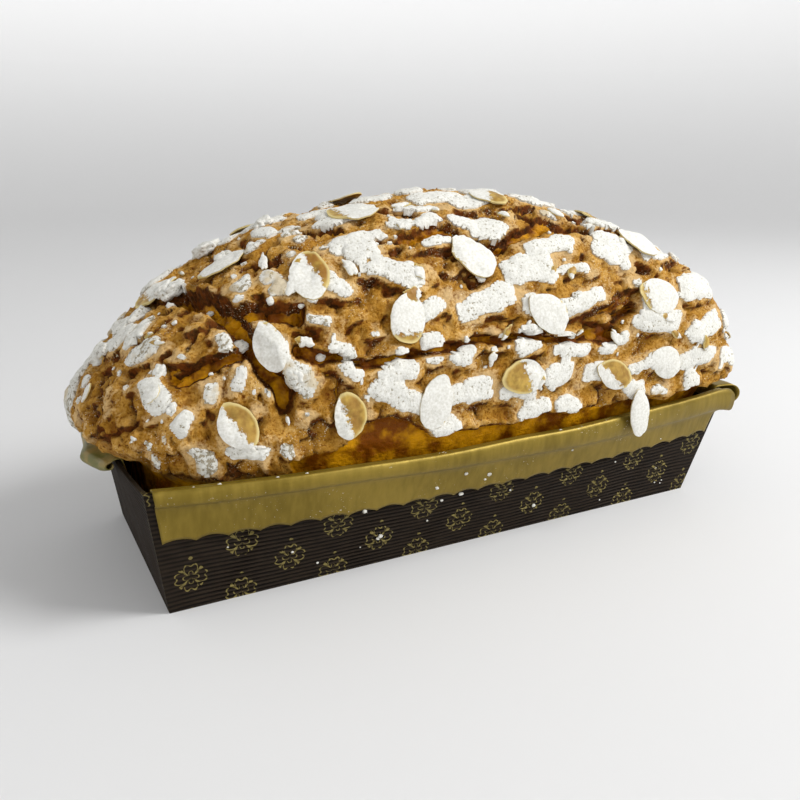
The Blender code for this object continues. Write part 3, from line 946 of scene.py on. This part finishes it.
crust = Finish("baked_crust")
sandy = crust.place.stretched(0.6, 1.0, 1.0)
tone = sandy.noise(0.0060, 5.0, 0.65)
crumbly = crust.place.noise(0.0010, 3.0, 0.6)
crust_stops = [
    (0.30, paint(108, 64, 8)),
    (0.44, paint(154, 108, 32)),
    (0.56, paint(184, 138, 62)),
    (0.72, paint(212, 176, 112)),
]
colour = tone.node("ValToRGB", {"stops": crust_stops}, {"Fac": tone * 0.7 + crumbly * 0.3})
relief_shade = crust.place.attribute("relief")
# Painted shade: low spots of the crust's relief are painted darker; the fine noise adds dark specks of real
# tone.
pit_shade_and_specks = (1 - relief_shade.rise(0.28, 0.48)) * 0.5 + (1 - crumbly.rise(0.34, 0.44)) * 0.6
colour = pit_shade_and_specks.blend(colour, paint(96, 46, 2))
# The dark tone paints the gaps, cracks, undersides and the front left hollow: partly the crust's dark-baked
# colour, partly painted shade.
torn = (crust.place.attribute("torn") + (tone - 0.5) * 0.7 + (crumbly - 0.5) * 0.9).rise(0.34, 0.74)
torn_and_shade_tone = crust.place.noise(0.0022, 3.0, 0.6).rise(0.35, 0.65).blend(paint(40, 12, 0), paint(98, 46, 6))
colour = (torn * 0.94).blend(colour, torn_and_shade_tone)
dusted = crust.place.attribute("plate_depth") * 1000 + (crumbly - 0.5) * 5.0
dusted = (dusted + (crust.place.noise(0.008, 2.0, 0.5) - 0.5) * 9.0).rise(-1.9, 0.7)
colour = (dusted * (1 - torn) * 0.6).blend(colour, paint(222, 192, 142))
powder_patches = crust.place.noise(0.011, 2.0, 0.5).rise(0.50, 0.62)
powder = crust.place.noise(0.0006, 2.0, 0.6).rise(0.60, 0.68) * powder_patches
colour = (powder * 0.7).blend(colour, paint(232, 222, 190))
amber_tone = crust.place.noise(0.008, 3.0, 0.55).rise(0.38, 0.68)
amber_tone = amber_tone.blend(paint(112, 58, 0), paint(208, 146, 12))
glazed = (crust.place.attribute("amber") + (crumbly - 0.5) * 0.25 + (tone - 0.5) * 0.3).rise(0.42, 0.72)
colour = glazed.blend(colour, amber_tone)
crust.set("Base Color", colour)
crust.set("Roughness", 0.82 - glazed * 0.42)
crust.set("Specular IOR Level", 0.1)
crust.relief(crumbly * 0.7 + tone * 0.8 + sandy.noise(0.0022, 3.0, 0.6), 0.0010, 0.7)

cake = add_piece("cake_crust", cake_bm, crust)
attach(cake, "root")
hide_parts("cake")

# ---------------------------------------------------------------------------------------------------------
# Sugar plates: icing sugar sieved on the wet glaze, caked in the oven into thin white plates that broke
# apart as the loaf rose. Each lies on its scale of crust, with a clean broken edge.

PLATE_FOOT = -0.0005
PLATE_BRINK = 0.0006
PLATE_RISE = 0.0007
PLATE_ROUND = 0.0011

sugar_bm = bmesh.new()
sugar_bm.from_mesh(cake.data)
depth_layer = sugar_bm.verts.layers.float.get("plate_depth")
sugar_bm.normal_update()
bare = [face for face in sugar_bm.faces if min(vert[depth_layer] for vert in face.verts) < 0]
bmesh.ops.delete(sugar_bm, geom=bare, context="FACES")
for vert in sugar_bm.verts:
    vert.co += vert.normal * PLATE_FOOT
ways = {vert: vert.normal.copy() for vert in sugar_bm.verts}
foot_faces = sugar_bm.faces[:]
raised = bmesh.ops.extrude_face_region(sugar_bm, geom=foot_faces, use_keep_orig=True)["geom"]
for vert in [item for item in raised if isinstance(item, bmesh.types.BMVert)]:
    inside = vert[depth_layer]
    up = vert.normal if vert not in ways else ways[vert]
    caked = PLATE_BRINK + PLATE_RISE * smooth_step(0, PLATE_ROUND, inside) - PLATE_FOOT
    vert.co += up * (caked + 0.0003 * noise.noise(vert.co / 0.0028) + 0.0002 * noise.noise(vert.co / 0.0011))
bmesh.ops.recalc_face_normals(sugar_bm, faces=sugar_bm.faces)

sugar = Finish("icing_sugar")
specks = sugar.place.noise(0.0009, 3.0, 0.65)
patchy = sugar.place.noise(0.007, 2.0, 0.5)
grit_shade = sugar.place.attribute("grit")
chalk = specks.rise(0.3, 0.7).blend(paint(208, 206, 196), paint(229, 228, 222))
gritty_holes = (sugar.place.noise(0.0014, 3.0, 0.6) + patchy * 0.4).rise(0.66, 0.60) * grit_shade
plain_holes = (specks + patchy * 0.25).rise(0.50, 0.46) * (1 - grit_shade)
holes = gritty_holes + plain_holes
chalk = (holes * 0.75).blend(chalk, paint(128, 112, 74))
stained = patchy.rise(0.52, 0.66) * grit_shade
chalk = (stained * 0.6).blend(chalk, paint(190, 166, 116))
sugar.set("Base Color", chalk)
sugar.set("Roughness", 0.92)
sugar.set("Specular IOR Level", 0.2)
sugar.relief(specks - holes * 0.6, 0.0007, 0.5)

sugar_plates = add_piece("sugar_plates", sugar_bm, sugar)
sugar_plates.data.set_sharp_from_angle(angle=math.radians(55))
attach(sugar_plates, "root")

# ---------------------------------------------------------------------------------------------------------
# Flaked almonds: broad thin slices of whole almonds, laid on the glaze and toasted with it. Each has a pale
# rim where the skin was, and most are half covered by caked sugar.

FLAKE_RINGS = 8
FLAKE_SPOKES = 44
FLAKE_THICKNESS = 0.0010
crust_tree = BVHTree.FromObject(cake, bpy.context.evaluated_depsgraph_get())

almond = Finish("flaked_almond")
radius_shade = almond.place.attribute("flake_radius")
cover_shade = almond.place.attribute("cover")
toast_shade = almond.place.attribute("toast")
flesh = almond.place.noise(0.003, 2.0, 0.5).rise(0.3, 0.7).blend(paint(144, 110, 32), paint(190, 156, 66))
flesh = (toast_shade * almond.place.noise(0.005, 2.0, 0.5).rise(0.3, 0.6)).blend(flesh, paint(142, 92, 22))
flesh = radius_shade.rise(0.80, 0.98).blend(flesh, paint(208, 188, 124))
powdered = (cover_shade + (almond.place.noise(0.0016, 3.0, 0.6) - 0.5) * 0.5).rise(-0.04, 0.04)
white = almond.place.noise(0.0009, 3.0, 0.6).rise(0.3, 0.7).blend(paint(208, 206, 196), paint(229, 228, 222))
almond.set("Base Color", powdered.blend(flesh, white))
almond.set("Roughness", 0.5 + powdered * 0.4)
almond.relief(powdered * 1.0 + almond.place.noise(0.0008, 2.0, 0.5) * 0.3, 0.0006, 0.6)


def add_flake(bm, centre, ahead, up, length, width, cover, bare_way, rough, toast, stiffness=0.5, lay=True):
    """One slice: an uneven egg on the crust, bent a little to it, its rim thinner, partly under sugar."""
    layers = [bm.verts.layers.float.get(name) for name in ("flake_radius", "cover", "toast")]
    across = up.cross(ahead)
    points = []
    for ring in range(FLAKE_RINGS + 1):
        share = (ring / FLAKE_RINGS) ** 0.8
        for spoke in range(FLAKE_SPOKES if ring else 1):
            turn = math.tau * spoke / FLAKE_SPOKES
            way = Vector((math.cos(turn), math.sin(turn), 0))
            uneven = noise.noise(way + centre * 900) + 0.35 * noise.noise(way * 3.5 + centre * 700)
            wobble = 1 + rough * uneven
            u, v = way.x * share * wobble, way.y * share * wobble
            v *= 1 - 0.25 * max(0.0, u) ** 2
            points.append((share, u, v, centre + ahead * (u * length / 2) + across * (v * width / 2)))
    lows = []
    for share, u, v, point in points:
        hit = crust_tree.ray_cast(point + up * 0.02, -up, 0.05) if lay else (None,)
        lows.append((hit[0] - centre).dot(up) if hit[0] else 0.0)
    highest = max(lows)
    top, bottom = [], []
    for (share, u, v, point), low in zip(points, lows):
        lift = low + (highest - low) * stiffness + 0.0008 if lay else 0.0
        lift += 0.0005 * share**2 * noise.noise(point / 0.006)
        thin = FLAKE_THICKNESS * (1 - 0.45 * share**6)
        for side, verts in ((1, top), (-1, bottom)):
            vert = bm.verts.new(point + up * (lift + side * thin / 2 + 0.0003 * (1 - share**2)))
            uncovered = ((Vector((u, v)).dot(bare_way)) + 1) / 2
            vert[layers[0]] = share
            vert[layers[1]] = cover * 1.2 - 0.1 - uncovered if side > 0 else -1.0
            vert[layers[2]] = toast
            verts.append(vert)
    for verts, flip in ((top, False), (bottom, True)):
        for ring in range(FLAKE_RINGS):
            inner = 1 + (ring - 1) * FLAKE_SPOKES
            outer = 1 + ring * FLAKE_SPOKES
            for spoke in range(FLAKE_SPOKES):
                far = (spoke + 1) % FLAKE_SPOKES
                if ring == 0:
                    corners = (verts[0], verts[outer + spoke], verts[outer + far])
                else:
                    corners = (verts[inner + spoke], verts[outer + spoke])
                    corners += (verts[outer + far], verts[inner + far])
                bm.faces.new(corners[::-1] if flip else corners)
    edge = 1 + (FLAKE_RINGS - 1) * FLAKE_SPOKES
    for spoke in range(FLAKE_SPOKES):
        far = (spoke + 1) % FLAKE_SPOKES
        bm.faces.new((top[edge + far], top[edge + spoke], bottom[edge + spoke], bottom[edge + far]))


def new_flakes():
    bm = bmesh.new()
    for name in ("flake_radius", "cover", "toast"):
        bm.verts.layers.float.new(name)
    return bm


def flake_frame(node):
    """Centre, longest way, way off the crust, length and width of a flat node, from how its points lie."""
    points = [vert.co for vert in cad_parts[node].data.vertices]
    centre = sum(points, Vector()) / len(points)
    out = [[v[i] - centre[i] for i in range(3)] for v in points]
    spread = Matrix([[sum(v[i] * v[j] for v in out) for j in range(3)] for i in range(3)])
    ways = []
    for _ in range(2):
        way = Vector((0.31, 0.52, 0.79))
        for _ in range(60):
            way = (spread @ way).normalized()
        size = (spread @ way).dot(way)
        for i in range(3):
            for j in range(3):
                spread[i][j] -= size * way[i] * way[j]
        ways.append(way)
    up = ways[0].cross(ways[1]).normalized()
    if up.dot(centre - Vector((centre.x, 0.0, WIDEST_LEVEL))) < 0:
        up = -up
    across = up.cross(ways[0])
    reach = [max(abs((v - centre).dot(way)) for v in points) for way in (ways[0], across)]
    return centre, ways[0], up, reach[0] * 2, reach[1] * 2


flake_nodes = [f"almond_{number:02d}" for number in range(1, 29)] + ["almond_over_rim"]
flake_bm = new_flakes()
flake_picks = random.Random(4)
for node in flake_nodes:
    centre, ahead, up, length, width = flake_frame(node)
    cover, bare = flake_picks.uniform(0.3, 1.0), flake_picks.uniform(0, 360)
    hanging = node == "almond_over_rim"
    if hanging:
        cover = 1.0
    seen = Vector((math.cos(math.radians(bare)), 0.0, math.sin(math.radians(bare))))
    bare_way = Vector((seen.dot(ahead), seen.dot(up.cross(ahead)))).normalized()
    toast = flake_picks.uniform(0.1, 0.9)
    add_flake(flake_bm, centre, ahead, up, length, width, cover, bare_way, 0.13, toast, 0.75, not hanging)
bmesh.ops.recalc_face_normals(flake_bm, faces=flake_bm.faces)
flakes = add_piece("flaked_almonds", flake_bm, almond)
flakes.data.set_sharp_from_angle(angle=math.radians(50))
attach(flakes, "root")
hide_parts(*flake_nodes)

# ---------------------------------------------------------------------------------------------------------
# Almond chips: broken bits of the same slices that fell between the large ones.

CHIPS = 60

chip_bm = new_flakes()
chip_picks = random.Random(9)
for _ in range(CHIPS):
    p, q = chip_picks.uniform(-0.97, 0.97), chip_picks.uniform(-0.97, 0.97)
    centre, along, up = dome_spot(p, q)
    lean = Matrix.Rotation(math.radians(chip_picks.uniform(-22, 22)), 3, along)
    ahead = (Matrix.Rotation(math.radians(chip_picks.uniform(0, 180)), 3, up) @ along).normalized()
    ahead, up = lean @ ahead, lean @ up
    hit = crust_tree.ray_cast(centre + up * 0.02, -up, 0.05)[0]
    length = chip_picks.uniform(0.003, 0.008)
    width = length * chip_picks.uniform(0.35, 0.7)
    cover, toast = chip_picks.uniform(0.3, 1.3), chip_picks.uniform(0, 0.8)
    if hit:
        add_flake(chip_bm, hit, ahead, up, length, width, cover, Vector((1, 0)), 0.6, toast, 0.9)
bmesh.ops.recalc_face_normals(chip_bm, faces=chip_bm.faces)
chips = add_piece("almond_chips", chip_bm, almond)
chips.data.set_sharp_from_angle(angle=math.radians(50))
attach(chips, "root")

# ---------------------------------------------------------------------------------------------------------
# Sugar lumps: clots of damp icing sugar that dried as small rough lumps on the plates and the crust.

# Large ones lie thickest over the left of the top
LARGE_LUMPS = 16
SMALL_LUMPS = 150
RIM_CRUMBS = 36
LUMP_STANDS = 0.55
LUMP_FLATNESS = 0.33

lump_bm = bmesh.new()
lump_bm.verts.layers.float.new("grit")
lump_picks = random.Random(3)
lump_places = []
for _ in range(LARGE_LUMPS):
    x, around = lump_picks.uniform(-0.122, -0.055), lump_picks.uniform(92, 126)
    centre, ahead, up = dome_frame(x, around, lump_picks.uniform(-60, 120))
    length = lump_picks.uniform(0.006, 0.011)
    lump_places.append((centre, ahead, up, length, length * lump_picks.uniform(0.45, 0.75)))
for _ in range(SMALL_LUMPS):
    p, q = lump_picks.uniform(-1, 1), lump_picks.uniform(-1, 1)
    centre, along, up = dome_spot(p, q)
    ahead = (Matrix.Rotation(lump_picks.uniform(0, 3.1), 3, up) @ along).normalized()
    length = 0.0014 + 0.0040 * lump_picks.random() ** 3
    lump_places.append((centre, ahead, up, length, length * lump_picks.uniform(0.55, 0.9)))
rests = []
for centre, ahead, up, length, width in lump_places:
    hit = crust_tree.ray_cast(centre + up * 0.02, -up, 0.05)[0]
    if hit is not None:
        rests.append((hit, ahead, up, length, width))
for crumb in range(RIM_CRUMBS):
    # Crumbs of it that fell on the band's crest and the mould's front
    p = lump_picks.uniform(-0.9, 0.9)
    rise = lump_picks.uniform(0.1, 0.8)
    length = 0.0006 + 0.0012 * lump_picks.random() ** 2
    if crumb % 3:
        rest = tray_point(p, -1, rise) + Vector((0, -GAP - FOIL if rise > 0.57 else 0, 0))
        up = Vector((0, -1, 0.1))
    else:
        rest = tray_point(p, -1, 1) + Vector((0, -0.0004, GAP + 1.5 * FOIL))
        up = Vector((0, -0.2, 1))
    rests.append((rest, Vector((1, 0, 0)), up, length, length * 0.8))
for number, (hit, ahead, up, length, width) in enumerate(rests):
    made = bmesh.ops.create_icosphere(lump_bm, subdivisions=4 if length > 0.004 else 2, radius=1.0)["verts"]
    across = up.cross(ahead)
    for vert in made:
        way = vert.co.copy()
        swollen = 1 + 0.40 * noise.noise(way * 1.3 + Vector((number, 0, 0)))
        swollen += 0.16 * noise.noise(way * 3.5 + Vector((0, number, 0))) + 0.06 * noise.noise(way * 9)
        body = way / max(abs(way.x), abs(way.y), abs(way.z)) ** 0.45 * swollen
        vert.co = hit + ahead * body.x * length / 2 + across * body.y * width / 2
        vert.co += up * (body.z + LUMP_STANDS) * width * LUMP_FLATNESS
sugar_lumps = add_piece("sugar_lumps", lump_bm, sugar)
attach(sugar_lumps, "root")
